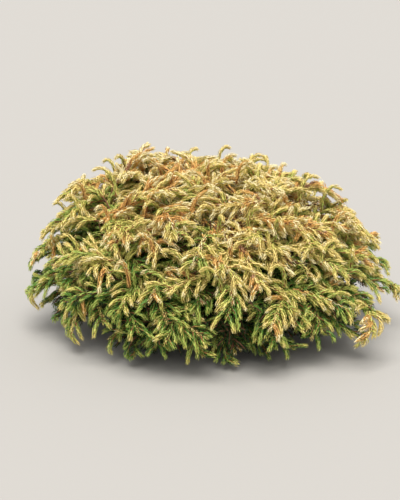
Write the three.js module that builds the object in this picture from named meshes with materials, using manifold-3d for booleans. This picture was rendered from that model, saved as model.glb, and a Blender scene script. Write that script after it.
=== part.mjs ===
// Golden mounded arborvitae: a low evergreen shrub, rooted in the ground.
// Millimetres, +Z up, +X to the right of its front, -Y towards the front.
// The origin is the middle of the trunk's flat cut at ground level.

import * as THREE from 'three';
import { mergeVertices } from 'three/addons/utils/BufferGeometryUtils.js';
import Module from 'manifold-3d';

const wasm = await Module();
wasm.setup();

// How far the crown reaches from the foot of the trunk
const crown = {
  halfWidth: 277,
  halfDepth: 256,
  height: 246,
  squareness: 2,
  footTuck: 0.27,
  footTuckAngle: 10,
  bulges: [
    { azimuth: 190, elevation: -2, amount: -0.07, width: 18 },
    { azimuth: 180, elevation: 54, amount: 0.1, width: 22 },
    { azimuth: 0, elevation: 12, amount: 0.04, width: 14 },
    { azimuth: -35, elevation: 4, amount: 0.15, width: 18 },
  ],
};

// The masses of foliage stand in tiers round the trunk, each on one bough
const tiers = [
  { name: 'skirt', count: 10, elevation: 13.5, firstAzimuth: 0, forks: [20, 40], boughRadius: 4.6 },
  { name: 'shoulder', count: 8, elevation: 38, firstAzimuth: 0, forks: [59, 74], boughRadius: 4.2 },
  { name: 'upper', count: 5, elevation: 63, firstAzimuth: 18, forks: [91, 101], boughRadius: 3.4 },
  { name: 'top', count: 1, elevation: 88, firstAzimuth: 250, forks: [], boughRadius: 0 },
];
const azimuthJitter = 4;
const elevationJitter = 2.5;

// Shares of the crown's reach, measured outwards from the foot of the trunk
const boughEnd = 0.49;
const stemEnd = 0.62;
const innerEdge = 0.52;
const coreInner = 0.58;
const coreOuter = 0.9;
const cellMiddle = 0.75;

const gap = 0.3;
const wallGap = 0.6;
const groundGap = 3;

const trunk = {
  footRadius: 12,
  tipRadius: 5.5,
  flare: 8,
  flareHeight: 16,
  flareLobes: 5,
  lean: [5, -4],
  sides: 15,
  levels: [0, 5, 12, 24, 45, 72, 100, 123],
};

// A bough's handles are shares of its span, and its last stretch is straight
const bough = { sides: 5, segments: 4, tipRadius: 3, rise: 10, handles: [0.35, 0.3], straight: 2 };
const stem = { sides: 5, baseRadius: 2.8, tipRadius: 2.2, straight: 2 };
const core = { wall: 2, ground: 8, step: 1 };
const trunkClearance = gap + 0.05;

// Shoots bend back where they near the crown's reach, and stop short of a limit past it
const easeFrom = 0.98;
const farthestShare = 1.08;

// A leader is a main shoot that arches out of a mass, a finger is a side shoot on it.
// Rise, arch and tip are shares of the crown's reach, lengths in millimetres, angles in degrees.
// A crest is a leader that stands up in the middle of a mass near the top.
const leaders = {
  count: 5,
  root: 0.74,
  rootSpread: 0.3,
  uphill: 7,
  turnJitter: 0.25,
  outShare: [0.85, 0.97],
  centralOut: 0.25,
  bends: [0.5, 0.85],
  rise: [0.95, 1.02],
  arch: [1.02, 1.12],
  tip: [0.94, 1.05],
  crestArch: 1.12,
  crestTip: 1.1,
  crestFrom: 0.8,
  tipRoom: 3,
  angleStep: 0.5,
  samples: 12,
  radii: [6, 12, 8, 11],
};
const fingers = {
  places: [0.35, 0.6],
  turn: [30, 72],
  length: [44, 60],
  lift: [0.05, 0.5],
  droop: [0, 0.5],
  knee: 0.5,
  forth: [0.92, 0.12],
  samples: 8,
  radii: [5, 11, 8],
};
const shorterTries = [1, 0.85, 0.7];

// Degrees either way for the slopes of the crown's surface, and the least volume a shoot adds
const frameStep = 1.5;
const leastGrowth = 400;
const cordFlatness = 0.45;
const taperShare = 0.6;
const shortestShare = 0.6;

const colours = {
  trunk: 0x6a4a35,
  bough: 0x80512f,
  skirt: 0x7f8c3c,
  shoulder: 0xb99a4c,
  upper: 0xcda257,
  top: 0xd3a75c,
};

// Corners are kept on a grid this fine
const closeness = 0.01;

const degrees = Math.PI / 180;
const up = new THREE.Vector3(0, 0, 1);

// Seeded numbers from 0 to 1, the same on every run
function random(seed) {
  let state = seed >>> 0;
  return () => {
    state = (state + 0x6d2b79f5) >>> 0;
    let t = state;
    t = Math.imul(t ^ (t >>> 15), t | 1);
    t ^= t + Math.imul(t ^ (t >>> 7), t | 61);
    return ((t ^ (t >>> 14)) >>> 0) / 4294967296;
  };
}

function lerp(low, high, t) {
  return low + (high - low) * t;
}

function between(draw, low, high) {
  return lerp(low, high, draw());
}

// A unit vector from an azimuth and an elevation in degrees
function direction(azimuth, elevation) {
  const flat = Math.cos(elevation * degrees);
  return new THREE.Vector3(
    flat * Math.cos(azimuth * degrees),
    flat * Math.sin(azimuth * degrees),
    Math.sin(elevation * degrees),
  );
}

// Distance from the origin to the crown's outside along a unit vector
function reach(unit) {
  const flat = Math.hypot(unit.x, unit.y);
  const sine = Math.max(unit.z, 0);
  const azimuth = Math.atan2(unit.y, unit.x);
  const elevation = Math.atan2(sine, flat) / degrees;
  const radius = 1 / Math.hypot(Math.cos(azimuth) / crown.halfWidth, Math.sin(azimuth) / crown.halfDepth);
  const power = crown.squareness;
  let distance = ((flat / radius) ** power + (sine / crown.height) ** power) ** (-1 / power);
  distance *= 1 - crown.footTuck * Math.exp(-((elevation / crown.footTuckAngle) ** 2));
  let bulge = 1;
  for (const { azimuth: a, elevation: e, amount, width } of crown.bulges) {
    bulge += amount * Math.exp(-((unit.angleTo(direction(a, e)) / degrees / width) ** 2));
  }
  return distance * bulge;
}

function atShare(unit, share) {
  return unit.clone().multiplyScalar(reach(unit) * share);
}

// The way down along the crown's surface, and the way round it, at a unit vector
function slopes(unit) {
  const flat = Math.max(Math.hypot(unit.x, unit.y), 1e-6);
  const outward = new THREE.Vector3(unit.x / flat, unit.y / flat, 0);
  const down = outward.clone().multiplyScalar(unit.z).addScaledVector(up, -flat);
  const round = new THREE.Vector3(-outward.y, outward.x, 0);
  return { down, round };
}

// A unit vector moved over the surface by two angles in degrees
function shifted(unit, alongDown, alongRound) {
  const { down, round } = slopes(unit);
  const turned = unit.clone();
  turned.addScaledVector(down, Math.tan(alongDown * degrees));
  turned.addScaledVector(round, Math.tan(alongRound * degrees));
  return turned.normalize();
}

// Every mass: its name, its axis from the foot of the trunk, and its middle
function layOutMasses() {
  const draw = random(2024);
  const masses = [];
  for (const tier of tiers) {
    for (let i = 0; i < tier.count; i += 1) {
      const single = tier.count === 1;
      const azimuth = tier.firstAzimuth + (360 / tier.count) * i + between(draw, -1, 1) * azimuthJitter;
      const elevation = single ? tier.elevation : tier.elevation + between(draw, -1, 1) * elevationJitter;
      const axis = direction(azimuth, elevation);
      masses.push({
        tier,
        label: single ? tier.name : `${tier.name}_${i + 1}`,
        axis,
        middle: atShare(axis, cellMiddle),
        fork: tier.forks[i % 2],
        draw: random(500 + masses.length * 17),
      });
    }
  }
  return masses;
}

const masses = layOutMasses();

// Distance from a point to the nearest wall between its mass and the others
function room(mass, point) {
  let least = Infinity;
  for (const other of masses) {
    if (other === mass) continue;
    const apart = other.middle.distanceTo(mass.middle);
    const nearer = point.distanceToSquared(other.middle) - point.distanceToSquared(mass.middle);
    least = Math.min(least, nearer / (2 * apart));
  }
  return least;
}

function isInside(mass, point, radius) {
  const unit = point.clone().normalize();
  const share = point.length() / reach(unit);
  return point.z > groundGap + radius && share > innerEdge && room(mass, point) > radius + wallGap;
}

// A closed skin over rings of points, ending in a tip point or a flat cap
function loft(rings, tip) {
  const positions = rings.flat().flatMap((p) => [p.x, p.y, p.z]);
  const sides = rings[0].length;
  const faces = [];
  for (let k = 0; k < rings.length - 1; k += 1) {
    for (let i = 0; i < sides; i += 1) {
      const a = k * sides + i;
      const b = k * sides + ((i + 1) % sides);
      faces.push(a, b, a + sides, b, b + sides, a + sides);
    }
  }
  for (let i = 1; i < sides - 1; i += 1) faces.push(0, i + 1, i);
  const last = (rings.length - 1) * sides;
  if (tip) {
    positions.push(tip.x, tip.y, tip.z);
    for (let i = 0; i < sides; i += 1) faces.push(last + i, last + ((i + 1) % sides), last + sides);
  } else {
    for (let i = 1; i < sides - 1; i += 1) faces.push(last, last + i, last + i + 1);
  }
  const geometry = new THREE.BufferGeometry();
  geometry.setAttribute('position', new THREE.Float32BufferAttribute(positions, 3));
  geometry.setIndex(faces);
  return geometry;
}

function solid(geometry) {
  geometry.deleteAttribute('normal');
  geometry.deleteAttribute('uv');
  const merged = mergeVertices(geometry, closeness);
  const mesh = new wasm.Mesh({
    numProp: 3,
    vertProperties: new Float32Array(merged.attributes.position.array),
    triVerts: new Uint32Array(merged.index.array),
  });
  return new wasm.Manifold(mesh);
}

function geometryOf(positions, triangles) {
  const geometry = new THREE.BufferGeometry();
  geometry.setAttribute('position', new THREE.BufferAttribute(positions, 3));
  geometry.setIndex(new THREE.BufferAttribute(triangles, 1));
  return geometry;
}

// True where every edge lies between exactly two faces
function isClosed(triangles) {
  const edges = new Set();
  for (let i = 0; i < triangles.length; i += 3) {
    for (let j = 0; j < 3; j += 1) {
      const edge = `${triangles[i + j]} ${triangles[i + ((j + 1) % 3)]}`;
      if (edges.has(edge)) return false;
      edges.add(edge);
    }
  }
  return [...edges].every((edge) => edges.has(edge.split(' ').reverse().join(' ')));
}

// A joined body with its corners on a fine grid and collapsed faces left out.
// Only its largest piece is kept, so no sealed hollow or loose scrap is left.
// Gives null where that isn't one clean skin.
function settled(joined) {
  const { vertProperties, triVerts } = joined.getMesh();
  const onGrid = vertProperties.map((value) => Math.round(value / closeness) * closeness);
  const merged = mergeVertices(geometryOf(onGrid, triVerts), closeness / 2);
  const triangles = [];
  for (let i = 0; i < merged.index.count; i += 3) {
    const [a, b, c] = [0, 1, 2].map((j) => merged.index.getX(i + j));
    if (a !== b && b !== c && c !== a) triangles.push(a, b, c);
  }
  if (!isClosed(triangles)) return null;
  const skin = solid(geometryOf(merged.attributes.position.array, new Uint32Array(triangles)));
  return skin.decompose().reduce((best, body) => (body.volume() > best.volume() ? body : best));
}

// Rings across a path, each turned by twist degrees from the one before
function ringsAlong(points, radii, sides, twist, flatness = 1) {
  const rings = [];
  let normal = null;
  points.forEach((point, k) => {
    const before = points[Math.max(k - 1, 0)];
    const after = points[Math.min(k + 1, points.length - 1)];
    const forward = after.clone().sub(before).normalize();
    if (!normal) {
      const aside = Math.abs(forward.z) < 0.9 ? up : new THREE.Vector3(1, 0, 0);
      normal = aside.clone().cross(forward).normalize();
    }
    normal.addScaledVector(forward, -normal.dot(forward)).normalize();
    const across = forward.clone().cross(normal);
    const ring = [];
    for (let i = 0; i < sides; i += 1) {
      const angle = (i * 360 / sides + k * twist) * degrees;
      ring.push(point.clone()
        .addScaledVector(normal, Math.cos(angle) * radii[k])
        .addScaledVector(across, Math.sin(angle) * radii[k] * flatness));
    }
    rings.push(ring);
  });
  return rings;
}

// The trunk: buttressed at the foot, tapered and leaning, cut flat at both ends
function trunkMiddle(z) {
  const t = z / trunk.levels.at(-1);
  return new THREE.Vector3(trunk.lean[0] * t * t, trunk.lean[1] * t * t, z);
}

function trunkSolid(extra) {
  const top = trunk.levels.at(-1);
  const rings = trunk.levels.map((z) => {
    const middle = trunkMiddle(z);
    const flare = trunk.flare * Math.exp(-z / trunk.flareHeight);
    const ring = [];
    for (let i = 0; i < trunk.sides; i += 1) {
      const angle = (i / trunk.sides) * 2 * Math.PI;
      const buttress = 0.5 + 0.5 * Math.cos(angle * trunk.flareLobes);
      const radius = lerp(trunk.footRadius, trunk.tipRadius, z / top) + flare * buttress + extra;
      ring.push(new THREE.Vector3(Math.cos(angle) * radius, Math.sin(angle) * radius, 0).add(middle));
    }
    return ring;
  });
  return solid(loft(rings));
}

// A bough leaves the trunk at its fork and bends into its mass's axis
function boughPath(mass) {
  const foot = trunkMiddle(mass.fork);
  const end = atShare(mass.axis, boughEnd);
  const span = end.distanceTo(foot);
  const flat = new THREE.Vector3(mass.axis.x, mass.axis.y, 0).normalize();
  const first = foot.clone().addScaledVector(flat, span * bough.handles[0]).addScaledVector(up, bough.rise);
  const second = end.clone().addScaledVector(mass.axis, -span * bough.handles[1]);
  return new THREE.CubicBezierCurve3(foot, first, second, end);
}

function boughSolid(mass, grownTrunk) {
  const path = boughPath(mass);
  const points = path.getPoints(bough.segments);
  const before = points.at(-1).clone().addScaledVector(mass.axis, -bough.straight);
  points.splice(-1, 0, before);
  const radii = points.map((_, k) => lerp(mass.tier.boughRadius, bough.tipRadius, k / (points.length - 1)));
  const limb = solid(loft(ringsAlong(points, radii, bough.sides, 0)));
  return limb.subtract(grownTrunk);
}

// Where a mass's own stem starts, 0.3 mm beyond what carries it
function stemFoot(mass) {
  if (mass.fork === undefined) {
    return trunkMiddle(trunk.levels.at(-1)).add(new THREE.Vector3(0, 0, gap));
  }
  return atShare(mass.axis, boughEnd).addScaledVector(mass.axis, gap);
}

function stemSolid(mass) {
  const foot = stemFoot(mass);
  const end = atShare(mass.axis, stemEnd);
  const points = [foot, foot.clone().addScaledVector(mass.axis, stem.straight), end];
  const radii = [stem.baseRadius, stem.baseRadius, stem.tipRadius];
  return solid(loft(ringsAlong(points, radii, stem.sides, 0)));
}

// The dense inside of a mass, which its shoots stand out of
function coreSolid(mass) {
  const middle = atShare(mass.axis, (coreInner + coreOuter) / 2);
  const geometry = new THREE.DodecahedronGeometry(1);
  const position = geometry.attributes.position;
  const fits = (point) => {
    const share = point.length() / reach(point.clone().normalize());
    const walled = point.z > core.ground && room(mass, point) > core.wall;
    return walled && share > coreInner && share < coreOuter;
  };
  for (let i = 0; i < position.count; i += 1) {
    const ray = new THREE.Vector3().fromBufferAttribute(position, i);
    let length = 0;
    while (fits(middle.clone().addScaledVector(ray, length + core.step))) length += core.step;
    const point = middle.clone().addScaledVector(ray, Math.max(length, core.step));
    position.setXYZ(i, point.x, point.y, point.z);
  }
  return solid(geometry);
}

// Outward from the crown's surface, and down along it, at a unit vector
function surfaceFrame(unit) {
  const along = (to, from) => atShare(to, 1).sub(atShare(from, 1)).normalize();
  const down = along(shifted(unit, frameStep, 0), shifted(unit, -frameStep, 0));
  const side = along(shifted(unit, 0, frameStep), shifted(unit, 0, -frameStep));
  const outward = side.cross(down).normalize();
  if (outward.dot(unit) < 0) outward.negate();
  return { outward, down };
}

// A point, drawn back in where it nears the limit past the crown's reach
function eased(point) {
  const unit = point.clone().normalize();
  const excess = point.length() / reach(unit) - easeFrom;
  if (excess <= 0) return point;
  const left = farthestShare - easeFrom;
  return atShare(unit, easeFrom + left * (1 - Math.exp(-excess / left)));
}

// The stretch of a curve that stays in the mass's own space, or null where it is too short
function fittingPoints(mass, curve, samples, radii) {
  const points = [];
  const radius = Math.max(...radii);
  for (let k = 0; k <= samples; k += 1) {
    const taper = Math.min(1, (1 - k / samples) / (1 - taperShare));
    const point = eased(curve.getPoint(k / samples));
    if (!isInside(mass, point, radius * taper)) break;
    points.push(point);
  }
  return points.length > samples * shortestShare ? points : null;
}

// A cord of overlapping needles: rings of three teeth, wide and narrow by turns
function cordSolid(points, radii) {
  const curve = new THREE.CatmullRomCurve3(points);
  const spots = radii.map((_, k) => curve.getPoint(k / radii.length));
  const rings = ringsAlong([...spots, points.at(-1)], [...radii, 0], 3, 60, cordFlatness);
  return solid(loft(rings.slice(0, -1), points.at(-1)));
}

// How many degrees a mass spreads from its axis, out to its wall or the ground, at an angle
function spread(mass, angle) {
  let degreesOut = 0;
  for (;;) {
    const next = degreesOut + leaders.angleStep;
    const unit = shifted(mass.axis, Math.sin(angle) * next, Math.cos(angle) * next);
    const point = atShare(unit, 1);
    if (point.z < groundGap + leaders.tipRoom || room(mass, point) < leaders.tipRoom) return degreesOut;
    degreesOut = next;
  }
}

// The last leader keeps to the middle of its mass, the others share out the turn round it
function leaderCurve(mass, k, shorter) {
  const { draw } = mass;
  const central = k === leaders.count - 1;
  const crest = central && mass.axis.z > leaders.crestFrom;
  const jitter = between(draw, -leaders.turnJitter, leaders.turnJitter);
  const angle = ((k + 0.5 + jitter) / (leaders.count - 1)) * 2 * Math.PI;
  const outShare = central ? leaders.centralOut : between(draw, ...leaders.outShare);
  const out = spread(mass, angle) * shorter * outShare;
  const across = Math.cos(angle) * out;
  const along = Math.sin(angle) * out;
  const uphill = leaders.uphill * Math.hypot(mass.axis.x, mass.axis.y);
  const bend = (part, share) => atShare(shifted(mass.axis, lerp(-uphill, along, part), across * part), share);
  return new THREE.CubicBezierCurve3(
    bend(leaders.rootSpread, leaders.root),
    bend(leaders.bends[0], between(draw, ...leaders.rise)),
    bend(leaders.bends[1], crest ? leaders.crestArch : between(draw, ...leaders.arch)),
    bend(1, crest ? leaders.crestTip : between(draw, ...leaders.tip)),
  );
}

function fingerCurve(mass, leader, place, side) {
  const { draw } = mass;
  const index = Math.round(place * (leader.length - 1));
  const root = leader[index];
  const forward = leader[index + 1].clone().sub(root).normalize();
  const face = surfaceFrame(root.clone().normalize()).outward.add(up).normalize();
  const heading = forward.clone().applyAxisAngle(face, side * between(draw, ...fingers.turn) * degrees);
  const length = between(draw, ...fingers.length);
  const lift = between(draw, ...fingers.lift) * length;
  const droop = between(draw, ...fingers.droop) * length;
  const knee = root.clone().addScaledVector(heading, length * fingers.knee).addScaledVector(face, lift);
  const tip = root.clone().addScaledVector(heading, length * fingers.forth[0]).addScaledVector(up, -droop);
  tip.addScaledVector(forward, length * fingers.forth[1]);
  return new THREE.QuadraticBezierCurve3(root, knee, tip);
}

// The first of several tries that finds room
function firstFit(options, attempt) {
  for (const option of options) {
    const found = attempt(option);
    if (found) return found;
  }
  return null;
}

// One mass: its stem and core, then every shoot that fits and can be joined to them cleanly
function foliageSolid(mass) {
  let joined = settled(stemSolid(mass).add(coreSolid(mass)));
  const join = (points, radii) => {
    const grown = points && settled(joined.add(cordSolid(points, radii)));
    if (!grown || grown.volume() < joined.volume() + leastGrowth) return null;
    joined = grown;
    return points;
  };
  const tryCurve = (curve, { samples, radii }) => join(fittingPoints(mass, curve, samples, radii), radii);
  for (let k = 0; k < leaders.count; k += 1) {
    const leader = firstFit(shorterTries, (shorter) => tryCurve(leaderCurve(mass, k, shorter), leaders));
    if (!leader || k === leaders.count - 1) continue;
    fingers.places.forEach((place, i) => {
      const side = (i + k) % 2 ? 1 : -1;
      firstFit([side, -side], (turn) => tryCurve(fingerCurve(mass, leader, place, turn), fingers));
    });
  }
  return joined;
}

function meshOf(name, body, colour, roughness) {
  const { vertProperties, triVerts } = settled(body).getMesh();
  const geometry = geometryOf(vertProperties, triVerts);
  geometry.computeVertexNormals();
  const material = new THREE.MeshStandardMaterial({ color: colour, roughness, metalness: 0 });
  const mesh = new THREE.Mesh(geometry, material);
  mesh.name = name;
  return mesh;
}

const group = new THREE.Group();
const grownTrunk = trunkSolid(trunkClearance);
group.add(meshOf('trunk', trunkSolid(0), colours.trunk, 0.9));
for (const mass of masses) {
  if (mass.fork !== undefined) {
    group.add(meshOf(`bough_${mass.label}`, boughSolid(mass, grownTrunk), colours.bough, 0.85));
  }
  group.add(meshOf(`foliage_${mass.label}`, foliageSolid(mass), colours[mass.tier.name], 0.75));
}

export default group;
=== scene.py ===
# A low mounded golden arborvitae, rooted in the ground. Metres, +Z up, -Y towards the front,
# origin at the trunk's foot. Bark covers the trunk and boughs, needle-clad shoots the crown.
import math

import bpy
import numpy as np
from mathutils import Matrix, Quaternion, Vector, noise


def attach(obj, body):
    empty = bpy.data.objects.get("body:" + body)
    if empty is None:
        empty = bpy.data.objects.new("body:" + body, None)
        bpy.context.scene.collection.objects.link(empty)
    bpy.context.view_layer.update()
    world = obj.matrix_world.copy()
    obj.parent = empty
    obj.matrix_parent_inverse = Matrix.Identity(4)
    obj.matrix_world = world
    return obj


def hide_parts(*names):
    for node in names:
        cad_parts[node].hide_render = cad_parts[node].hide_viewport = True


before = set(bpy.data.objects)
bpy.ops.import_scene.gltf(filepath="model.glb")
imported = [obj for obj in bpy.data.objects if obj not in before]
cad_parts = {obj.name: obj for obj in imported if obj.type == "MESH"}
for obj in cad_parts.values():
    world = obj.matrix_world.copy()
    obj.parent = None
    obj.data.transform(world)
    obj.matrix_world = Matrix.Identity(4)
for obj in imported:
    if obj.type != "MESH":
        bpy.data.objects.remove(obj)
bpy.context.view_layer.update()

up = Vector((0, 0, 1))
goldenAngle = 137.508       # degrees round from one spot on the crown to the next
print("frame loaded:", len(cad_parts), "nodes")


# The crown's reach and the masses in it, by the same rule as the solids
crown = {
    "halfWidth": 0.277,
    "halfDepth": 0.256,
    "height": 0.246,
    "squareness": 2,        # 2 gives an ellipsoid
    "footTuck": 0.27,       # share of the reach that is taken away at the ground
    "footTuckAngle": 10,    # degrees of elevation over which that fades
    "bulges": [  # azimuth, elevation, amount, width
        (190, -2, -0.07, 18),
        (180, 54, 0.10, 22),
        (0, 12, 0.04, 14),
        (-35, 4, 0.15, 18),
    ],
    "tiers": [  # name, count, elevation, first azimuth, heights of the forks, bough radius
        ("skirt", 10, 13.5, 0, (0.020, 0.040), 0.0046),
        ("shoulder", 8, 38, 0, (0.059, 0.074), 0.0042),
        ("upper", 5, 63, 18, (0.091, 0.101), 0.0034),
        ("top", 1, 88, 250, (), 0),
    ],
    "azimuthJitter": 4,
    "elevationJitter": 2.5,
    "boughEnd": 0.49,       # share of the reach, as is the next one
    "cellMiddle": 0.75,
    "gap": 0.0003,          # between a bough's tip and the limbs that leave it
    "seed": 2024,
    "massSeed": 900,        # of the first mass
    "massSeedStep": 31,
}


def seeded(seed):  # numbers from 0 to 1, the same as the solids draw
    words = 2 ** 32
    mask = words - 1
    state = seed & mask
    while True:
        state = (state + 0x6D2B79F5) & mask
        t = ((state ^ (state >> 15)) * (state | 1)) & mask
        t ^= (t + ((t ^ (t >> 7)) * (t | 61) & mask)) & mask
        yield ((t ^ (t >> 14)) & mask) / words


def between(draw, low, high):
    return low + (high - low) * next(draw)


def mix(low, high, t):
    return low + (high - low) * t


def smooth(low, high, value):
    t = min(max((value - low) / (high - low), 0), 1)
    return t * t * (3 - 2 * t)


def cubic(a, b, c, d, t):
    s = 1 - t
    return a * (s * s * s) + b * (3 * s * s * t) + c * (3 * s * t * t) + d * (t * t * t)


def direction(azimuth, elevation):
    a, e = math.radians(azimuth), math.radians(elevation)
    return Vector((math.cos(e) * math.cos(a), math.cos(e) * math.sin(a), math.sin(e)))


def levelOf(vector):  # its direction as seen from above
    return Vector((vector.x, vector.y, 0)).normalized()


bulges = [(direction(a, e), amount, math.radians(width)) for a, e, amount, width in crown["bulges"]]


def reach(unit):  # from the origin to the crown's outside along a unit vector
    flat = math.hypot(unit.x, unit.y)
    sine = max(unit.z, 0)
    azimuth = math.atan2(unit.y, unit.x)
    elevation = math.degrees(math.atan2(sine, flat))
    radius = 1 / math.hypot(math.cos(azimuth) / crown["halfWidth"], math.sin(azimuth) / crown["halfDepth"])
    power = crown["squareness"]
    distance = ((flat / radius) ** power + (sine / crown["height"]) ** power) ** (-1 / power)
    distance *= 1 - crown["footTuck"] * math.exp(-((elevation / crown["footTuckAngle"]) ** 2))
    bulge = 1
    for towards, amount, width in bulges:
        angle = math.acos(min(max(unit.dot(towards), -1), 1))
        bulge += amount * math.exp(-((angle / width) ** 2))
    return distance * bulge


def atShare(unit, share):
    return unit * (reach(unit) * share)


def slopes(unit):  # down along the crown, and round it
    flat = max(math.hypot(unit.x, unit.y), 1e-6)        # never 0, even straight up
    outward = Vector((unit.x / flat, unit.y / flat, 0))
    return outward * unit.z - up * flat, Vector((-outward.y, outward.x, 0))


def shifted(unit, alongDown, alongRound):  # by degrees
    down, aside = slopes(unit)
    turned = unit + down * math.tan(math.radians(alongDown)) + aside * math.tan(math.radians(alongRound))
    return turned.normalized()


def layOutMasses():
    draw = seeded(crown["seed"])
    laid = []
    for name, count, elevation, firstAzimuth, forks, boughRadius in crown["tiers"]:
        for i in range(count):
            azimuth = firstAzimuth + 360 / count * i + between(draw, -1, 1) * crown["azimuthJitter"]
            tilt = elevation
            if count > 1:
                tilt += between(draw, -1, 1) * crown["elevationJitter"]
            axis = direction(azimuth, tilt)
            laid.append({
                "tier": name,
                "label": name if count == 1 else f"{name}_{i + 1}",
                "axis": axis,
                "middle": atShare(axis, crown["cellMiddle"]),
                "fork": forks[i % 2] if forks else None,
                "boughRadius": boughRadius,
                "seed": crown["massSeed"] + crown["massSeedStep"] * len(laid),
                "spots": [],        # where its leaders and its risers stand, dealt out below
                "risers": [],
            })
    return laid


masses = layOutMasses()


def room(mass, point):  # distance to the nearest wall between a mass and the others
    own = (point - mass["middle"]).length_squared
    walls = []
    for other in masses:
        if other is not mass:
            nearer = (point - other["middle"]).length_squared - own
            walls.append(nearer / (2 * (other["middle"] - mass["middle"]).length))
    return min(walls)


def ownerOf(point):
    return max(masses, key=lambda mass: room(mass, point))


def spotsOver(count, lowest, highest):  # unit vectors, evenly spread by area over the crown
    profileSteps = 200
    steps = np.radians(np.linspace(lowest, highest, profileSteps))
    ring = [reach(Vector((math.cos(e), 0, math.sin(e)))) for e in steps]
    places = np.array([(r * math.cos(e), r * math.sin(e)) for r, e in zip(ring, steps)])
    strips = np.hypot(*np.diff(places, axis=0).T) * (places[1:, 0] + places[:-1, 0]) / 2
    grown = np.concatenate(([0], np.cumsum(strips))) / strips.sum()
    elevations = np.degrees(np.interp((np.arange(count) + 0.5) / count, grown, steps))
    return [direction(goldenAngle * k, e) for k, e in enumerate(elevations)]


# Helpers: an object in the scene, a node with its settings and inputs, and trees with named sockets
def addObject(name, data):
    made = bpy.data.objects.new(name, data)
    bpy.context.scene.collection.objects.link(made)
    return made


def addNode(tree, kind, inputs=None, **settings):
    made = tree.nodes.new(kind)
    for key, value in settings.items():
        setattr(made, key, value)
    for key, value in (inputs or {}).items():
        socket = made.inputs[key]
        if isinstance(value, bpy.types.NodeSocket):
            tree.links.new(value, socket)
        else:
            socket.default_value = value
    return made


def addMath(tree, operation, *values):
    return addNode(tree, "ShaderNodeMath", dict(enumerate(values)), operation=operation).outputs[0]


def addSockets(tree, side, sockets):
    for label, kind in sockets:
        tree.interface.new_socket(label, in_out=side, socket_type=kind)


def newTree(name, sockets):
    tree = bpy.data.node_groups.new(name, "GeometryNodeTree")
    tree.is_modifier = True
    addSockets(tree, "INPUT", [("Geometry", "NodeSocketGeometry"), *sockets])
    addSockets(tree, "OUTPUT", [("Geometry", "NodeSocketGeometry")])
    return tree


def runTree(tree, name, values):  # a plain mesh object from a tree, with no modifier left
    carrier = addObject(name + "Carrier", bpy.data.meshes.new(name + "Carrier"))
    modifier = carrier.modifiers.new("grow", "NODES")
    modifier.node_group = tree
    for item in tree.interface.items_tree:
        if item.in_out == "INPUT" and item.name in values:
            modifier[item.identifier] = values[item.name]
    evaluated = carrier.evaluated_get(bpy.context.evaluated_depsgraph_get())
    mesh = bpy.data.meshes.new_from_object(evaluated)
    mesh.name = name
    bpy.data.objects.remove(carrier)
    return addObject(name, mesh)


def paintChain(tree, geometry, tint, materials):  # one Set Material for each tint number
    for number, material in enumerate(materials):
        near = addNode(tree, "FunctionNodeCompare", {0: tint, 1: float(number), "Epsilon": 0.5},
                       data_type="FLOAT", operation="EQUAL")
        geometry = addNode(tree, "GeometryNodeSetMaterial", {
            "Geometry": geometry, "Selection": near.outputs[0], "Material": material}).outputs[0]
    return geometry


# Plain colours that are dealt out by spray, in an order where neighbours blend
needleTints = [  # name, colour, roughness
    ("deepGreen", (0.020, 0.050, 0.008), 0.60),
    ("green", (0.095, 0.215, 0.026), 0.55),
    ("lime", (0.360, 0.450, 0.090), 0.50),
    ("yellowGreen", (0.630, 0.590, 0.150), 0.48),
    ("gold", (0.810, 0.645, 0.225), 0.46),
    ("cream", (0.880, 0.775, 0.430), 0.46),
    ("orangeGold", (0.720, 0.410, 0.120), 0.50),
    ("rust", (0.400, 0.215, 0.120), 0.58),
]
stemTints = [
    ("limbBark", (0.075, 0.038, 0.022), 0.85),
    ("brownStem", (0.160, 0.072, 0.034), 0.75),
    ("redStem", (0.340, 0.150, 0.055), 0.65),
    ("goldStem", (0.460, 0.360, 0.080), 0.60),
]
plainGloss = 0.35           # specular level of every plain colour


def plainMaterial(name, colour, roughness):
    material = bpy.data.materials.new(name)
    material.use_nodes = True
    shader = material.node_tree.nodes["Principled BSDF"]
    shader.inputs["Base Color"].default_value = (*colour, 1)
    shader.inputs["Roughness"].default_value = roughness
    shader.inputs["Specular IOR Level"].default_value = plainGloss
    return material


needleMaterials = [plainMaterial(*tint) for tint in needleTints]
stemMaterials = [plainMaterial(*tint) for tint in stemTints]
deepGreen, green, lime, yellowGreen, gold, cream, orangeGold, rust = range(len(needleTints))


# Trunk and boughs
trunk = {
    "footRadius": 0.012,
    "tipRadius": 0.0055,
    "flare": 0.008,
    "flareHeight": 0.016,
    "flareLobes": 5,
    "lean": (0.005, -0.004),
    "height": 0.123,
    "sides": 90,
    "rings": 150,
    "relief": 0.0007,
    "seed": 5,
}
bough = {
    "tipRadius": 0.003,
    "rise": 0.010,
    "handles": (0.35, 0.3), # of its curve, at the fork and the tip, in spans
    "sides": 14,
    "rings": 44,
    "relief": 0.00035,
    "seedStep": 7,
}
fibres = [  # scale of the noise round a limb and along it, and share of the relief
    (3.2, 14, 0.65),
    (8.0, 30, 0.45),
]


def trunkMiddle(z):
    t = z / trunk["height"]
    return Vector((trunk["lean"][0] * t * t, trunk["lean"][1] * t * t, z))


def boughPath(mass):  # the four points of a cubic curve
    foot = trunkMiddle(mass["fork"])
    end = atShare(mass["axis"], crown["boughEnd"])
    span = (end - foot).length
    atFork, atTip = bough["handles"]
    first = foot + levelOf(mass["axis"]) * (span * atFork) + up * bough["rise"]
    second = end - mass["axis"] * (span * atTip)
    return foot, first, second, end


def stringyRelief(angle, along, seed):  # long fibres that run with the limb, from about -1 to 1
    relief = 0
    for around, pace, share in fibres:
        place = Vector((math.cos(angle) * around, math.sin(angle) * around, along * pace + seed))
        relief += share * noise.noise(place)
    return relief


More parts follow.
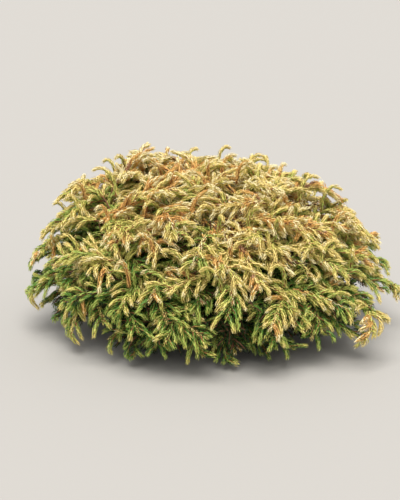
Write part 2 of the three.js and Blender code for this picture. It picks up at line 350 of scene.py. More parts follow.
def tubeFaces(rings, sides):  # the wall between rings of vertices, and a cap at each end
    faces = []
    for k in range(rings - 1):
        for i in range(sides):
            a, b = k * sides + i, k * sides + (i + 1) % sides
            faces.append((a, b, b + sides, a + sides))
    last = (rings - 1) * sides
    faces.append(tuple(range(sides - 1, -1, -1)))
    faces.append(tuple(range(last, last + sides)))
    return faces


def meshPiece(name, parts, material):
    vertices, faces = [], []
    for partVertices, partFaces in parts:
        shift = len(vertices)
        vertices += partVertices
        faces += [tuple(v + shift for v in face) for face in partFaces]
    mesh = bpy.data.meshes.new(name)
    mesh.from_pydata(vertices, [], faces)
    mesh.shade_smooth()
    mesh.materials.append(material)
    return addObject(name, mesh)


def makeTrunk(material):
    rings, sides = trunk["rings"], trunk["sides"]
    vertices = []
    for k in range(rings + 1):
        z = trunk["height"] * k / rings
        middle = trunkMiddle(z)
        taper = mix(trunk["footRadius"], trunk["tipRadius"], z / trunk["height"])
        flare = trunk["flare"] * math.exp(-z / trunk["flareHeight"])
        for i in range(sides):
            angle = 2 * math.pi * i / sides
            buttress = 0.5 + 0.5 * math.cos(angle * trunk["flareLobes"])
            relief = trunk["relief"] * stringyRelief(angle, middle.z, trunk["seed"])
            radius = taper + flare * buttress + relief
            vertices.append(middle + Vector((math.cos(angle) * radius, math.sin(angle) * radius, 0)))
    return meshPiece("trunkBark", [(vertices, tubeFaces(rings + 1, sides))], material)


def boughMesh(mass, seed):
    path, rings, sides = boughPath(mass), bough["rings"], bough["sides"]
    middles = [cubic(*path, k / rings) for k in range(rings + 1)]
    forward = (middles[1] - middles[0]).normalized()
    steep = abs(forward.z) >= 0.9
    normal = Vector((1, 0, 0)) if steep else forward.cross(up).normalized()
    vertices = []
    for k, middle in enumerate(middles):
        forward = (middles[min(k + 1, rings)] - middles[max(k - 1, 0)]).normalized()
        normal = (normal - forward * normal.dot(forward)).normalized()
        across = forward.cross(normal)
        taper = mix(mass["boughRadius"], bough["tipRadius"], k / rings)
        for i in range(sides):
            angle = 2 * math.pi * i / sides
            radius = taper + bough["relief"] * stringyRelief(angle, middle.length, seed)
            vertices.append(middle + normal * math.cos(angle) * radius + across * math.sin(angle) * radius)
    return vertices, tubeFaces(rings + 1, sides)


def makeBoughs(material):
    parts = [boughMesh(mass, number * bough["seedStep"])
             for number, mass in enumerate(masses) if mass["fork"] is not None]
    return meshPiece("boughBark", parts, material)


bark = {
    "stretch": 0.16,        # scale of the fibres along the trunk, beside 1 round it
    "fibreDetail": 8.0,
    "fibreRoughness": 0.65,
    "patchScale": 90.0,
    "patchDetail": 3.0,
    "patchShare": 0.5,
    "darkAndLight": (0.36, 0.66),       # noise that gives all of the dark and all of the light
    "roughness": (0.95, 0.7),
    "bumpStrength": 0.6,
    "bumpDistance": 0.0006,
    "trunk": (260, (0.055, 0.030, 0.020), (0.260, 0.165, 0.110)),       # fibre scale, dark, light
    "boughs": (420, (0.070, 0.030, 0.016), (0.330, 0.170, 0.090)),
}


def barkGroup():  # stringy bark: colour, roughness and height, along Z of the object
    group = bpy.data.node_groups.new("stringyBark", "ShaderNodeTree")
    addSockets(group, "INPUT", [
        ("Fibre Scale", "NodeSocketFloat"), ("Dark", "NodeSocketColor"), ("Light", "NodeSocketColor")])
    addSockets(group, "OUTPUT", [
        ("Color", "NodeSocketColor"), ("Roughness", "NodeSocketFloat"), ("Height", "NodeSocketFloat")])
    given = addNode(group, "NodeGroupInput").outputs
    place = addNode(group, "ShaderNodeTexCoord").outputs["Object"]
    stretch = addNode(group, "ShaderNodeMapping", {"Vector": place, "Scale": (1, 1, bark["stretch"])})
    strands = addNode(group, "ShaderNodeTexNoise", {
        "Vector": stretch.outputs[0], "Scale": given["Fibre Scale"],
        "Detail": bark["fibreDetail"], "Roughness": bark["fibreRoughness"]})
    patches = addNode(group, "ShaderNodeTexNoise", {
        "Vector": place, "Scale": bark["patchScale"], "Detail": bark["patchDetail"]})
    share = bark["patchShare"]
    shift = addMath(group, "MULTIPLY_ADD", patches.outputs[0], share, -share / 2)
    both = addMath(group, "ADD", strands.outputs[0], shift)
    dark, light = bark["darkAndLight"]
    spread = addNode(group, "ShaderNodeMapRange", {"Value": both, "From Min": dark, "From Max": light})
    colour = addNode(group, "ShaderNodeMix", {  # its colour sockets are 6, 7 and 2
        "Factor": spread.outputs[0], 6: given["Dark"], 7: given["Light"]}, data_type="RGBA")
    dull, smoother = bark["roughness"]
    rough = addNode(group, "ShaderNodeMapRange", {"Value": both, "To Min": dull, "To Max": smoother})
    addNode(group, "NodeGroupOutput", {
        "Color": colour.outputs[2], "Roughness": rough.outputs[0], "Height": strands.outputs[0]})
    return group


def barkMaterial(name, group, fibreScale, dark, light):
    material = bpy.data.materials.new(name)
    material.use_nodes = True
    tree = material.node_tree
    shader = tree.nodes["Principled BSDF"]
    stringy = tree.nodes.new("ShaderNodeGroup")
    stringy.node_tree = group
    stringy.inputs["Fibre Scale"].default_value = fibreScale
    stringy.inputs["Dark"].default_value = (*dark, 1)
    stringy.inputs["Light"].default_value = (*light, 1)
    bump = addNode(tree, "ShaderNodeBump", {
        "Height": stringy.outputs["Height"],
        "Strength": bark["bumpStrength"], "Distance": bark["bumpDistance"]})
    tree.links.new(stringy.outputs["Color"], shader.inputs["Base Color"])
    tree.links.new(stringy.outputs["Roughness"], shader.inputs["Roughness"])
    tree.links.new(bump.outputs[0], shader.inputs["Normal"])
    return material


stringyBark = barkGroup()
trunkPiece = makeTrunk(barkMaterial("trunkBarkFinish", stringyBark, *bark["trunk"]))
boughPiece = makeBoughs(barkMaterial("boughBarkFinish", stringyBark, *bark["boughs"]))
print("bark made")


# Shoots in general, which keep to the crown's reach and above the ground
shootFloor = 0.010          # no shoot hangs lower than this
floorEase = 0.010           # height above it under which shoots are lifted
easeFrom = 0.98             # share of the reach from which shoots are held back
usualLimit = 1.06           # share of the reach that most of them never pass
bluntTip = {
    "from": 0.7,            # share of the shoot's length
    "size": 0.62,           # of the needles at its end
    "opening": 0.35,        # added there
}


def surfaceFrame(unit):  # outward from the crown's surface, and down along it
    step = 1.5
    down = (atShare(shifted(unit, step, 0), 1) - atShare(shifted(unit, -step, 0), 1)).normalized()
    side = (atShare(shifted(unit, 0, step), 1) - atShare(shifted(unit, 0, -step), 1)).normalized()
    outward = side.cross(down).normalized()
    if outward.dot(unit) < 0:
        outward.negate()
    return outward, down


def eased(point, limit):  # drawn back in where it would pass the crown's reach or the ground
    farthest = reach(point.normalized())
    excess = point.length / farthest - easeFrom
    if excess > 0:
        left = limit - easeFrom
        point = point.normalized() * farthest * (easeFrom + left * (1 - math.exp(-excess / left)))
    low = shootFloor - point.z
    if low > -floorEase:
        lifted = shootFloor + floorEase * math.exp(-(low + floorEase) / floorEase)
        point = Vector((point.x, point.y, lifted))
    return point


def shoot(points, tones, size, openings, radii, stems, limit=usualLimit):
    shares = [k / (len(points) - 1) for k in range(len(points))]
    blunt = [smooth(bluntTip["from"], 1, t) for t in shares]
    return {
        "points": [eased(point, limit) for point in points],
        "tone": [mix(*tones, t) for t in shares],
        "size": [size * mix(1, bluntTip["size"], b) for b in blunt],
        "opening": [mix(*openings, t) + bluntTip["opening"] * b for t, b in zip(shares, blunt)],
        "radius": [mix(*radii, t) for t in shares],
        "stem": [mix(*stems, t) for t in shares],
    }


# Tones, which are places along needleTints: 4.5 is half way from gold to cream
gilding = {
    "heights": (0.045, 0.225),      # where the gold sets in and is full
    "rightward": 0.15,      # height that each metre to the right counts for
    "least": 0.12,          # gold of the lowest tips
    "shares": (0.72, 0.93), # of the reach, between green inside and the gold outside
}
toning = {
    "jitter": (-0.20, 0.18),
    "rustAbove": 0.50,      # gold from which a few shoots are rusty
    "rustPick": 0.08,       # share of them that are
    "rustFoot": (-0.8, 0.2),        # beside rust
    "rustTip": (0, 0.7),    # beside cream
    "richAbove": 0.35,      # gold from which some shoots are gold or orange with a cream tip
    "richPick": 0.80,       # picks above this are
    "orangePick": 0.87,     # and above this they are orange
    "richTip": 0.2,         # beside cream
    "foot": (deepGreen + 0.3, yellowGreen + 1.0),       # without gold and with all of it
    "mostGold": 1.2,
    "tip": (lime + 0.3, gold + 0.6),
    "shadedTip": green,     # without gold
    "tipGain": 1.7,         # how much sooner a tip turns than its foot
    "footGroundShade": 0.8,         # how much darker a foot is near the ground: painted shade
    "lowHeights": (0.03, 0.12),
    "groundShadeAndFresh": (-1.4, 0.8),   # shift of shaded shoots: painted shade, dark near the ground, and fresh green half way up
    "shadeToFreshHeights": (0.05, 0.12),
    "topFresh": 1.2,        # added to that at the top
    "topHeights": (0.12, 0.19),
    "brightPick": (0.12, 0.46),     # share of shoots with a golden tip, near the ground and above
    "brightHeights": (0.02, 0.09),
    "brightRightward": 0.16,
    "brightTip": (0.45, 0.8),       # beside gold
    "brightGold": (0.0, 0.3),       # of the place, between those two
}


def goldness(point):  # 0 is green inside, 1 is the sunlit gold of the top
    share = point.length / reach(point.normalized())
    height = smooth(*gilding["heights"], point.z + gilding["rightward"] * point.x)
    return mix(gilding["least"], 1, height) * smooth(*gilding["shares"], share)


def toneRange(draw, point, own, shaded):  # tones at the foot and the tip of a shoot
    sun = goldness(point) + own + between(draw, *toning["jitter"])
    pick = next(draw)
    if sun > toning["rustAbove"] and pick < toning["rustPick"]:
        return rust + between(draw, *toning["rustFoot"]), cream + between(draw, *toning["rustTip"])
    if sun > toning["richAbove"] and pick > toning["richPick"]:
        return (orangeGold if pick > toning["orangePick"] else gold), cream + toning["richTip"]
    dullTip, goldTip = toning["tip"]
    foot = mix(*toning["foot"], min(max(sun, 0), toning["mostGold"]))
    tip = mix(toning["shadedTip"] if shaded else dullTip, goldTip, min(max(sun, 0) * toning["tipGain"], 1.0))
    # Feet near the ground are darker: painted shade
    foot -= toning["footGroundShade"] * (1 - smooth(*toning["lowHeights"], point.z))
    if shaded:
        # Shaded shoots are darker still near the ground, which is painted shade, and fresh green higher up
        groundShadeAndFresh = mix(*toning["groundShadeAndFresh"], smooth(*toning["shadeToFreshHeights"], point.z))
        groundShadeAndFresh += toning["topFresh"] * smooth(*toning["topHeights"], point.z)
        return foot + groundShadeAndFresh, tip + groundShadeAndFresh
    height = point.z + toning["brightRightward"] * point.x
    if pick < mix(*toning["brightPick"], smooth(*toning["brightHeights"], height)):
        tip = max(tip, gold + mix(*toning["brightTip"], smooth(*toning["brightGold"], sun)))
    return foot, tip


# Leaders rise from each mass's hub on a bare limb, arch over, and run out and down the crown
leaders = {
    "length": (0.082, 0.130),
    "footShares": (0.58, 0.90),     # of the reach, the least and the most where a leader starts
    "tipShare": (0.80, 1.04),
    "forth": 3.2,           # level outward part of the flow, beside one part down the crown
    "fan": 5.0,             # part away from the mass's axis, for each metre from it
    "sway": (58, 130),      # degrees either way, on the sides and at the top
    "swayTop": (0.72, 0.97),        # sines of the elevation between the two
    "rise": 0.62,           # upward part of the first direction, beside one part of the flow
    "fall": (0.15, -0.45),  # downward part of the last one, on the sides and the least at the top
    "fallTop": (0.70, 0.95),
    "handle": 0.35,         # of the curves, in spans
    "steps": 10,
    "limbSteps": 6,
    "limbRadius": (0.0019, 0.0011),
    "limbStem": (0, 1.3),   # places along stemTints, as all stems are
    "radius": (0.0018, 0.0011),
    "stem": (1.6, 2.6),
    # Stems of shaded shoots are darker: painted shade
    "shadedStem": (0.4, 1.3),
    "opening": 0.58,        # of the needles at the foot, in radians from the stem
    "tipOpening": 0.45,
    "bareChance": 0.45,     # of needles that stand wide open, so that the red stem shows
    "bareOpening": 1.05,
    "bareStem": (2.0, 2.2),
    "ownGold": (-0.34, 0.24),       # that a leader and its fingers have beside their place's
    "shadedGold": (1.3, 0.05),      # taken from shaded ones, low down and high up; low down it darkens them as painted shade
    "shadedHeights": (0.03, 0.17),
    "footTone": 0.1,        # how far the tone at its foot lies towards the one at its tip
    "lookSeed": 7,          # added to the mass's, for the draws of bare stems and risers
}


def hubOf(mass):
    if mass["fork"] is None:
        return trunkMiddle(trunk["height"]) + up * crown["gap"]
    return atShare(mass["axis"], crown["boughEnd"]) + mass["axis"] * crown["gap"]


def curveBetween(start, leaving, landing, end, steps):
    span, handle = (end - start).length, leaders["handle"]
    first, second = start + leaving * span * handle, end - landing * span * handle
    return [cubic(start, first, second, end, k / steps) for k in range(steps + 1)]


def leaderPath(draw, mass, unit, depth):  # its bare limb from the hub, and its arch
    outward, down = surfaceFrame(unit)
    tip = atShare(unit, between(draw, *leaders["tipShare"]) - depth)
    away = tip - atShare(mass["axis"], 1)
    away -= outward * away.dot(outward)
    flow = (down + levelOf(unit) * leaders["forth"] + away * leaders["fan"]).normalized()
    sway = mix(*leaders["sway"], smooth(*leaders["swayTop"], unit.z)) * between(draw, -1, 1)
    flow = Quaternion((outward + up).normalized(), math.radians(sway)) @ flow
    start = tip - flow * between(draw, *leaders["length"])
    inward = start.normalized()
    least, most = leaders["footShares"]
    start = atShare(inward, min(max(start.length / reach(inward), least - depth), most - depth))
    leaving = (flow + up * leaders["rise"]).normalized()
    sideFall, topFall = leaders["fall"]
    fall = mix(sideFall, topFall * next(draw), smooth(*leaders["fallTop"], unit.z))
    landing = (flow - up * fall).normalized()
    limb = curveBetween(hubOf(mass), mass["axis"], leaving, start, leaders["limbSteps"])
    return limb, curveBetween(start, leaving, landing, tip, leaders["steps"])


# Fingers stand on both sides of a leader, and twiglets on some of the fingers
fingers = {
    "first": 0.10,          # share of the leader, as is the next one
    "last": 0.96,
    "spacing": 0.0086,
    "spacingJitter": (0.75, 1.25),
    "shadedSpacing": 1.4,   # times the spacing
    "turn": (36, 62),       # degrees from the leader
    "tipTurn": 0.75,        # share of the turn that is left at the leader's tip
    "length": (0.024, 0.046),
    "tipLength": 0.65,      # share of the length that is left there
    "lowLength": 0.7,       # and near the ground
    "lowHeights": (0.01, 0.06),
    "lift": (0.04, 0.42),   # of the knee, in lengths
    "droop": (-0.22, 0.36), # of the tip, in lengths
    "droopHeights": (0.0, 0.05),    # over which the droop sets in
    "knee": 0.5,            # how far it stands out sideways, in lengths
    "sideways": 0.92,       # of the tip, in lengths, as is the next one
    "forward": 0.12,
    "steps": 4,
    "opening": (0.46, 0.58),
    "looseOpening": (0.75, 0.95),
    "looseChance": (0.70, 0.10),    # low down and high up
    "looseHeights": (0.04, 0.13),
    "tipOpening": 0.45,
    "radius": (0.0016, 0.0010),
    "stem": (2, 3),
    # Stems of shaded shoots are darker: painted shade
    "shadedStem": (0.6, 1.3),
}
twiglets = {
    "chance": 0.40,
    "from": 0.028,          # length of the shortest finger that bears one
    "place": 0.45,
    "turn": 36,
    "share": 0.55,          # of the finger's length
    "size": 0.9,
    "opening": (0.50, 0.45),
    "stem": (2.2, 3),
}
hooks = {  # fingers of the upper crown that stand up and curl over
    "chance": (0.10, 0.28),
    "chanceHeights": (0.14, 0.22),
    "above": 0.12,
    "lift": 0.5,
    "droop": (-0.8, 0.1),
    "limit": 1.12,
}


def sideShoot(root, forward, turn, length, lift, droop):
    face = (surfaceFrame(root.normalized())[0] + up).normalized()
    heading = Quaternion(face, math.radians(turn)) @ forward
    knee = root + heading * (length * fingers["knee"]) + face * (lift * length)
    tip = root + heading * (length * fingers["sideways"]) + forward * (length * fingers["forward"])
    tip -= up * (droop * length)
    shares = [k / fingers["steps"] for k in range(fingers["steps"] + 1)]
    return [root * ((1 - t) ** 2) + knee * (2 * t * (1 - t)) + tip * (t * t) for t in shares]


def twiglet(draw, finger, side, length, tones, limit):
    heading = (finger[2] - finger[1]).normalized()
    root = finger[1].lerp(finger[2], twiglets["place"])
    turn = twiglets["turn"] * (-side if next(draw) < 0.5 else side)
    points = sideShoot(root, heading, turn, length * twiglets["share"],
                       between(draw, *fingers["lift"]), between(draw, *fingers["droop"]))
    return shoot(points, tones, twiglets["size"], twiglets["opening"], fingers["radius"],
                 twiglets["stem"], limit)


def fingersAlong(draw, arch, own, spot):
    made = []
    shaded = spot["shaded"]
    steps = len(arch) - 1
    total = sum((b - a).length for a, b in zip(arch, arch[1:]))
    place = total * fingers["first"]
    side = 1 if next(draw) < 0.5 else -1
    while place < total * fingers["last"]:
        t = place / total
        k = min(int(t * steps), steps - 1)
        root = arch[k].lerp(arch[k + 1], t * steps - k)
        forward = (arch[k + 1] - arch[k]).normalized()
        length = between(draw, *fingers["length"]) * mix(1, fingers["tipLength"], t * t)
        turn = between(draw, *fingers["turn"]) * mix(1, fingers["tipTurn"], t)
        lift, droop, limit = between(draw, *fingers["lift"]), between(draw, *fingers["droop"]), spot["limit"]
        droop *= smooth(*fingers["droopHeights"], root.z)
        length *= mix(fingers["lowLength"], 1, smooth(*fingers["lowHeights"], root.z))
        chance = mix(*hooks["chance"], smooth(*hooks["chanceHeights"], root.z))
        if next(draw) < chance and root.z > hooks["above"] and not shaded:
            lift, droop, limit = hooks["lift"], between(draw, *hooks["droop"]), hooks["limit"]
        points = sideShoot(root, forward, turn * side, length, lift, droop)
        tones = toneRange(draw, points[-1], own, shaded)
        loose = next(draw) < mix(*fingers["looseChance"], smooth(*fingers["looseHeights"], root.z))
        opening = between(draw, *fingers["looseOpening" if loose else "opening"])
        made.append(shoot(points, tones, 1.0, (opening, fingers["tipOpening"]), fingers["radius"],
                          fingers["shadedStem" if shaded else "stem"], limit))
        if next(draw) < twiglets["chance"] and length > twiglets["from"] and not shaded:
            made.append(twiglet(draw, points, side, length, tones, limit))
        side = -side
        gap = fingers["spacing"] * between(draw, *fingers["spacingJitter"])
        place += gap * (fingers["shadedSpacing"] if shaded else 1)
    return made


# Risers are slim shoots that stand up from the upper crown and curl over
risers = {
    "count": 64,
    "lowest": 26,           # elevations between which they stand
    "highest": 88,
    "jitter": (3, 4),       # degrees either way, down the crown and round it
    "foot": 0.92,           # share of the reach
    "length": (0.040, 0.066),
    "upward": 0.66,         # of the tip, in lengths, as is the next one
    "outward": 0.60,
    "straight": 0.6,        # handles of the curve, in lengths, at the foot and the tip
    "curl": 0.18,
    "turn": 100,            # degrees either way from straight outward
    "steps": 6,
    "orangeChance": 0.35,
    "goldFoot": -0.6,       # beside gold, as is the next one
    "goldTip": (0, 0.9),
    "size": 0.95,
    "opening": (0.50, 0.42),
    "stem": (2, 3),
    "limit": 1.17,
}


def riser(draw, unit):
    foot = atShare(unit, risers["foot"])
    length = between(draw, *risers["length"])
    level = Quaternion(up, math.radians(risers["turn"] * between(draw, -1, 1))) @ levelOf(unit)
    tip = foot + (up * risers["upward"] + level * risers["outward"]) * length
    first = foot + up * length * risers["straight"]
    second = tip + (up - level) * length * risers["curl"]
    points = [cubic(foot, first, second, tip, k / risers["steps"]) for k in range(risers["steps"] + 1)]
    if next(draw) < risers["orangeChance"]:
        tones = orangeGold, cream
    else:
        tones = gold + risers["goldFoot"], gold + between(draw, *risers["goldTip"])
    return shoot(points, tones, risers["size"], risers["opening"], fingers["radius"],
                 risers["stem"], risers["limit"])


# Spots on the crown where leaders end and risers stand, each dealt to the mass that it lies in
layers = {  # count, lowest and highest elevation, depth in shares of the reach, shaded
    "outer": (260, 5, 90, (0, 0), False),
    "inner": (170, 3, 90, (0.06, 0.20), True),
    "deep": (110, 2, 90, (0.20, 0.42), True),
    "under": (70, 1, 18, (0.12, 0.40), True),
}
runners = {  # long sprays that reach past the others near the ground
    "places": [  # azimuth and elevation; the first three and the last are as in the photo
        (189, 12), (-44, 9), (-5, 11), (98, 10), (142, 6), (38, 8), (214, 6),
    ],
    "depth": (-0.24, -0.18),
    "limit": 1.13,
    "sunlit": 0.40,         # added to their gold
}
fillers = {  # more leaders, where gaps were left
    "places": [(160, 37), (174, 34), (182, 21), (4, 26), (-14, 24), (-92, 9), (-52, 13)],
    "depth": (0.02, 0.06),
}
dealing = {
    "seed": 78,
    "jitter": (2, 3),       # degrees either way, down the crown and round it
    "lowest": 0.02,         # sine of the elevation that a spot has to be above
    "fullFrom": 0.24,       # sine above which no spot is left out
    "thinning": 3,          # below that one spot in this many is
    "ownerShare": 0.8,      # share of the reach where a spot's mass is looked up
}


def jittered(draw, unit, jitter):
    alongDown, alongRound = jitter
    return shifted(unit, between(draw, -alongDown, alongDown), between(draw, -alongRound, alongRound))


def ownerOfSpot(unit):
    return ownerOf(atShare(unit, dealing["ownerShare"]))


def dealSpot(unit, depth, shaded=False, limit=usualLimit, extraGold=0):
    ownerOfSpot(unit)["spots"].append({
        "unit": unit, "depth": depth, "shaded": shaded, "limit": limit, "extraGold": extraGold})


def dealSpots():
    draw = seeded(dealing["seed"])
    for count, lowest, highest, depth, shaded in layers.values():
        for number, unit in enumerate(spotsOver(count, lowest, highest)):
            unit = jittered(draw, unit, dealing["jitter"])
            kept = unit.z > dealing["fullFrom"] or number % dealing["thinning"]
            if kept and unit.z > dealing["lowest"]:
                dealSpot(unit, depth, shaded)
    for place in runners["places"]:
        dealSpot(direction(*place), runners["depth"], limit=runners["limit"], extraGold=runners["sunlit"])
    for place in fillers["places"]:
        dealSpot(direction(*place), fillers["depth"])
    for unit in spotsOver(risers["count"], risers["lowest"], risers["highest"]):
        unit = jittered(draw, unit, risers["jitter"])
        ownerOfSpot(unit)["risers"].append(unit)


dealSpots()
print("spots dealt:", sum(len(mass["spots"]) for mass in masses), "leaders and",
      sum(len(mass["risers"]) for mass in masses), "risers")


def growMass(mass):  # bare limbs, and shoots that bear needles, the outer and the shaded ones
    draw, lookDraw = seeded(mass["seed"]), seeded(mass["seed"] + leaders["lookSeed"])
    limbs, outer, inner = [], [], []
    for spot in mass["spots"]:
        shaded = spot["shaded"]
        limb, arch = leaderPath(draw, mass, spot["unit"], between(draw, *spot["depth"]))
        own = between(draw, *leaders["ownGold"]) + spot["extraGold"]
        # Shaded shoots lose gold, most near the ground, where it is painted shade
        if shaded:
            own -= mix(*leaders["shadedGold"], smooth(*leaders["shadedHeights"], arch[-1].z))
        footTone, tipTone = toneRange(draw, arch[-1], own, shaded)
        opening, stem = leaders["opening"], leaders["shadedStem" if shaded else "stem"]
        if next(lookDraw) < leaders["bareChance"] and not shaded:
            opening, stem = leaders["bareOpening"], leaders["bareStem"]
        # A limb bears no needles, so that its tones, size and openings are never used
        limbs.append(shoot(limb + arch[1:2], (0, 0), 1, (1, 1), leaders["limbRadius"], leaders["limbStem"]))
        clad = inner if shaded else outer
        clad.append(shoot(arch[1:], (mix(footTone, tipTone, leaders["footTone"]), tipTone), 1.0,
                          (opening, leaders["tipOpening"]), leaders["radius"], stem, spot["limit"]))
        clad += fingersAlong(draw, arch, own, spot)
    outer += [riser(lookDraw, unit) for unit in mass["risers"]]
    return limbs, outer, inner


# Needles in rows along the shoots, and the stems that they stand on
needle = {
    "length": 0.0077,
    "width": 0.0015,
    "arch": 0.0013,         # how far the middle stands out
    "middle": 0.50,
    "seat": 0.0005,         # from the middle of the shoot to the needle's foot
    "bend": 0.0021,         # how far the tip curves back towards the shoot
    "spacing": 0.00046,
    "shadedSpacing": 0.0015,
    "shadedSize": 1.35,
    "rows": 8 / 3,          # eight rows, taken three steps round at a time
    "openingJitter": 0.14,
    "sizes": (0.85, 1.12),
    "toneJitter": 0.5,
    "undersideGreenAndShade": 2.0,  # towards green, where a needle faces down: partly the underside's own green, partly painted shade
    "undersideBelow": 5.2,  # tones above this one keep theirs
    "seed": 100,            # of the first mass, and of the first tier of shaded ones
    "shadedSeed": 600,
    "seedStep": 10,
}
stemSides = {"twigs": 3, "limbs": 5}


def thinned(path):  # the same shoot with half its points, for its stem
    return {key: values[::2] if len(values) % 2 else values[:-1:2] + values[-1:]
            for key, values in path.items()}


def curvesObject(name, shoots):
    data = bpy.data.hair_curves.new(name)
    data.add_curves([len(s["points"]) for s in shoots])
    places = np.array([p for s in shoots for p in s["points"]], np.float32)
    data.points.foreach_set("position", places.ravel())
    data.points.foreach_set("radius", [r for s in shoots for r in s["radius"]])
    for key in ("tone", "size", "opening", "stem"):
        values = data.attributes.new(key, "FLOAT", "POINT")
        values.data.foreach_set("value", [v for s in shoots for v in s[key]])
    return addObject(name, data)


def needleObject(scale=1):  # a slim needle along +Z, arched outward, with its tip bent back in
    length, width, arch, seat, bend = [
        needle[key] * scale for key in ("length", "width", "arch", "seat", "bend")]
    half, z = width / 2, length * needle["middle"]
    vertices = [(0, -seat, 0), (-half, -seat - arch, z), (half, -seat - arch, z), (0, bend - seat, length)]
    mesh = bpy.data.meshes.new("needleShape")
    mesh.from_pydata(vertices, [], [(0, 2, 1), (3, 1, 2)])
    return addObject("needleShape", mesh)


def stored(tree, key):  # a value that curvesObject or the tree itself put on the points
    return addNode(tree, "GeometryNodeInputNamedAttribute", {"Name": key}, data_type="FLOAT").outputs[0]


def needleTree():
    tree = newTree("needlesAlongShoots", [
        ("Shoots", "NodeSocketObject"), ("Needle", "NodeSocketObject"), ("Spacing", "NodeSocketFloat"),
        ("Rows", "NodeSocketFloat"), ("Tone Jitter", "NodeSocketFloat"),
        ("Underside Green And Shade", "NodeSocketFloat"), ("Seed", "NodeSocketInt")])
    given = addNode(tree, "NodeGroupInput").outputs
    curves = addNode(tree, "GeometryNodeObjectInfo", {"Object": given["Shoots"]})
    seats = addNode(tree, "GeometryNodeCurveToPoints",
                    {"Curve": curves.outputs["Geometry"], "Length": given["Spacing"]}, mode="LENGTH")
    shape = addNode(tree, "GeometryNodeObjectInfo", {"Object": given["Needle"], "As Instance": True})

    def chance(low, high, shift):  # each use has a seed of its own
        seed = addMath(tree, "ADD", given["Seed"], shift)
        made = addNode(tree, "FunctionNodeRandomValue", {"Min": low, "Max": high, "Seed": seed},
                       data_type="FLOAT")
        return made.outputs["Value"]

    # Each needle is turned a row further round the shoot, and opened from it
    step = addMath(tree, "DIVIDE", 2 * math.pi, given["Rows"])
    place = addNode(tree, "GeometryNodeInputIndex").outputs[0]
    twist = addMath(tree, "ADD", addMath(tree, "MULTIPLY", place, step), chance(-0.5, 0.5, 1))
    sway = needle["openingJitter"]
    tilt = addMath(tree, "ADD", stored(tree, "opening"), chance(-sway, sway, 2))
    turn = addNode(tree, "ShaderNodeCombineXYZ", {"X": tilt, "Z": twist})
    local = addNode(tree, "FunctionNodeEulerToRotation", {"Euler": turn.outputs[0]})
    whole = addNode(tree, "FunctionNodeRotateRotation", {
        "Rotation": seats.outputs["Rotation"], "Rotate By": local.outputs[0]}, rotation_space="LOCAL")
    size = addMath(tree, "MULTIPLY", stored(tree, "size"), chance(*needle["sizes"], 3))

    # Its tint is its shoot's tone, strayed a little, and greener and darker where it faces down: partly the
    # underside's own green, partly painted shade
    outward = addNode(tree, "FunctionNodeRotateVector", {"Vector": (0, -1, 0), "Rotation": whole.outputs[0]})
    height = addNode(tree, "ShaderNodeSeparateXYZ", {"Vector": outward.outputs[0]}).outputs["Z"]
    turns = addMath(tree, "LESS_THAN", stored(tree, "tone"), needle["undersideBelow"])
    facingDown = addMath(tree, "MAXIMUM", addMath(tree, "MULTIPLY", height, -1.0), 0.0)
    under = addMath(tree, "MULTIPLY", addMath(tree, "MULTIPLY", facingDown, turns),
                    given["Underside Green And Shade"])
    jitter = addMath(tree, "MULTIPLY", chance(-0.5, 0.5, 4), given["Tone Jitter"])
    tone = addMath(tree, "SUBTRACT", addMath(tree, "ADD", stored(tree, "tone"), jitter), under)
    lastTint = float(len(needleTints) - 1)
    held = addMath(tree, "MINIMUM", addMath(tree, "MAXIMUM", tone, 0.0), lastTint)
    tinted = addNode(tree, "GeometryNodeStoreNamedAttribute", {
        "Geometry": seats.outputs["Points"], "Name": "tint", "Value": addMath(tree, "ROUND", held)},
        data_type="FLOAT", domain="POINT")

    planted = addNode(tree, "GeometryNodeInstanceOnPoints", {
        "Points": tinted.outputs[0], "Instance": shape.outputs["Geometry"],
        "Rotation": whole.outputs[0], "Scale": size})
    real = addNode(tree, "GeometryNodeRealizeInstances", {"Geometry": planted.outputs[0]})
    painted = paintChain(tree, real.outputs[0], stored(tree, "tint"), needleMaterials)
    addNode(tree, "NodeGroupOutput", {"Geometry": painted})
    return tree


def stemTree():
    tree = newTree("stemsAlongShoots", [("Shoots", "NodeSocketObject"), ("Sides", "NodeSocketInt")])
    given = addNode(tree, "NodeGroupInput").outputs
    curves = addNode(tree, "GeometryNodeObjectInfo", {"Object": given["Shoots"]})
    ring = addNode(tree, "GeometryNodeCurvePrimitiveCircle", {"Resolution": given["Sides"], "Radius": 1.0})
    coarse = addNode(tree, "GeometryNodeSetSplineResolution",
                     {"Geometry": curves.outputs["Geometry"], "Resolution": 1})
    radius = addNode(tree, "GeometryNodeInputRadius")
    tube = addNode(tree, "GeometryNodeCurveToMesh", {
        "Curve": coarse.outputs[0], "Profile Curve": ring.outputs[0],
        "Scale": radius.outputs[0], "Fill Caps": True})
    real = addNode(tree, "GeometryNodeRealizeInstances", {"Geometry": tube.outputs[0]})
    tint = addMath(tree, "ROUND", stored(tree, "stem"))
    addNode(tree, "NodeGroupOutput", {"Geometry": paintChain(tree, real.outputs[0], tint, stemMaterials)})
    return tree


growNeedles, growStems = needleTree(), stemTree()
needleShape, shadedShape = needleObject(), needleObject(needle["shadedSize"])


def dressed(name, shoots, shape, spacing, seed):  # one piece of all the needles on some shoots
    paths = curvesObject("needlePaths", shoots)
    piece = runTree(growNeedles, name, {
        "Shoots": paths, "Needle": shape, "Spacing": spacing, "Rows": float(needle["rows"]),
        "Tone Jitter": needle["toneJitter"], "Underside Green And Shade": needle["undersideGreenAndShade"], "Seed": seed})
    bpy.data.objects.remove(paths)
    return piece


def stemmed(name, shoots, sides):  # one piece of all the stems of some shoots
    paths = curvesObject("stemPaths", shoots)
    piece = runTree(growStems, name, {"Shoots": paths, "Sides": sides})
    bpy.data.objects.remove(paths)
    return piece


def facesOf(pieces):
    return sum(len(piece.data.polygons) for piece in pieces)


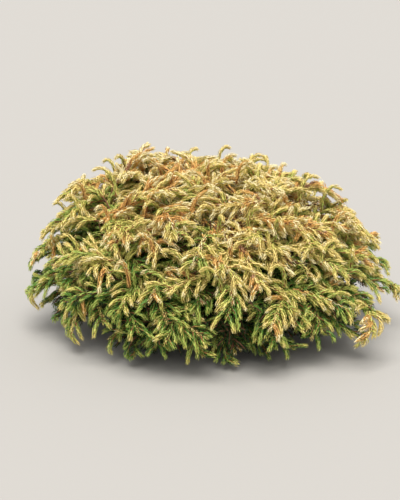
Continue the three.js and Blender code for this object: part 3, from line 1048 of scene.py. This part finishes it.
foliagePieces, shadedPieces, twigPieces, allLimbs = [], [], [], []
twigsByTier = {tier[0]: [] for tier in crown["tiers"]}
shadedByTier = {tier[0]: [] for tier in crown["tiers"]}
for number, mass in enumerate(masses):
    limbs, outer, inner = growMass(mass)
    allLimbs += limbs
    twigsByTier[mass["tier"]] += outer + inner
    shadedByTier[mass["tier"]] += inner
    seed = needle["seed"] + number * needle["seedStep"]
    piece = dressed("needles_" + mass["label"], outer, needleShape, needle["spacing"], seed)
    foliagePieces.append((piece, mass))
for number, (tier, shoots) in enumerate(shadedByTier.items()):
    seed = needle["shadedSeed"] + number * needle["seedStep"]
    piece = dressed("shadedNeedles_" + tier, shoots, shadedShape, needle["shadedSpacing"], seed)
    shadedPieces.append((piece, tier))
bpy.data.objects.remove(needleShape)
bpy.data.objects.remove(shadedShape)
print("needles grown:", facesOf(piece for piece, _ in foliagePieces), "and",
      facesOf(piece for piece, _ in shadedPieces), "faces on",
      sum(len(shoots) for shoots in twigsByTier.values()), "shoots")
for tier, shoots in twigsByTier.items():
    twigPieces.append(stemmed("twigs_" + tier, [thinned(path) for path in shoots], stemSides["twigs"]))
twigPieces.append(stemmed("limbs", allLimbs, stemSides["limbs"]))
print("twigs grown:", facesOf(twigPieces), "faces")


# What every piece rides on and stands for
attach(trunkPiece, "root")
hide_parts("trunk")
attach(boughPiece, "root")
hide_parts(*["bough_" + mass["label"] for mass in masses if mass["fork"] is not None])
for piece, mass in foliagePieces:
    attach(piece, "root")
    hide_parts("foliage_" + mass["label"])
for piece, tier in shadedPieces:
    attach(piece, "root")
for piece in twigPieces:
    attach(piece, "root")


# Floor, light and camera
studio = {
    "floorSize": 24,
    "floorColour": (0.41, 0.395, 0.375),
    "floorRoughness": 0.9,
    "worldColour": (0.97, 0.97, 0.98),
    "worldStrength": 0.64,
    "sunColour": (1.0, 0.98, 0.94),
    "sunStrength": 4.0,
    "sunAngle": 45,         # degrees, wide for soft shadows
    "sunFrom": (-0.06, -0.38, 1.0),
}
view = {
    "elevation": 17,
    "distance": 1.6,
    "target": (-0.012, 0, 0.112),
    "lens": 78.3,
    "film": 36,             # mm, along the picture's long side
}


def makeFloor():
    half = studio["floorSize"] / 2
    corners = [(-half, -half, 0), (half, -half, 0), (half, half, 0), (-half, half, 0)]
    mesh = bpy.data.meshes.new("floor")
    mesh.from_pydata(corners, [], [(0, 1, 2, 3)])
    mesh.materials.append(plainMaterial("floorFinish", studio["floorColour"], studio["floorRoughness"]))
    floor = addObject("floor", mesh)


def makeWorld():
    world = bpy.data.worlds.new("studioSky")
    world.use_nodes = True
    background = world.node_tree.nodes["Background"]
    background.inputs["Color"].default_value = (*studio["worldColour"], 1)
    background.inputs["Strength"].default_value = studio["worldStrength"]
    bpy.context.scene.world = world


def makeSun():
    data = bpy.data.lights.new("softSun", "SUN")
    data.energy = studio["sunStrength"]
    data.angle = math.radians(studio["sunAngle"])
    data.color = studio["sunColour"]
    light = addObject("softSun", data)
    light.rotation_euler = Vector(studio["sunFrom"]).to_track_quat("Z", "Y").to_euler()


def makeCamera():
    data = bpy.data.cameras.new("camera")
    data.lens = view["lens"]
    data.sensor_width = view["film"]
    tilt = math.radians(view["elevation"])
    back = Vector((0, -math.cos(tilt), math.sin(tilt)))
    camera = addObject("camera", data)
    camera.location = Vector(view["target"]) + back * view["distance"]
    camera.rotation_euler = (-back).to_track_quat("-Z", "Y").to_euler()
    bpy.context.scene.camera = camera


bpy.context.scene.view_settings.view_transform = "Standard"
makeFloor()
makeWorld()
makeSun()
makeCamera()
print("stage made")
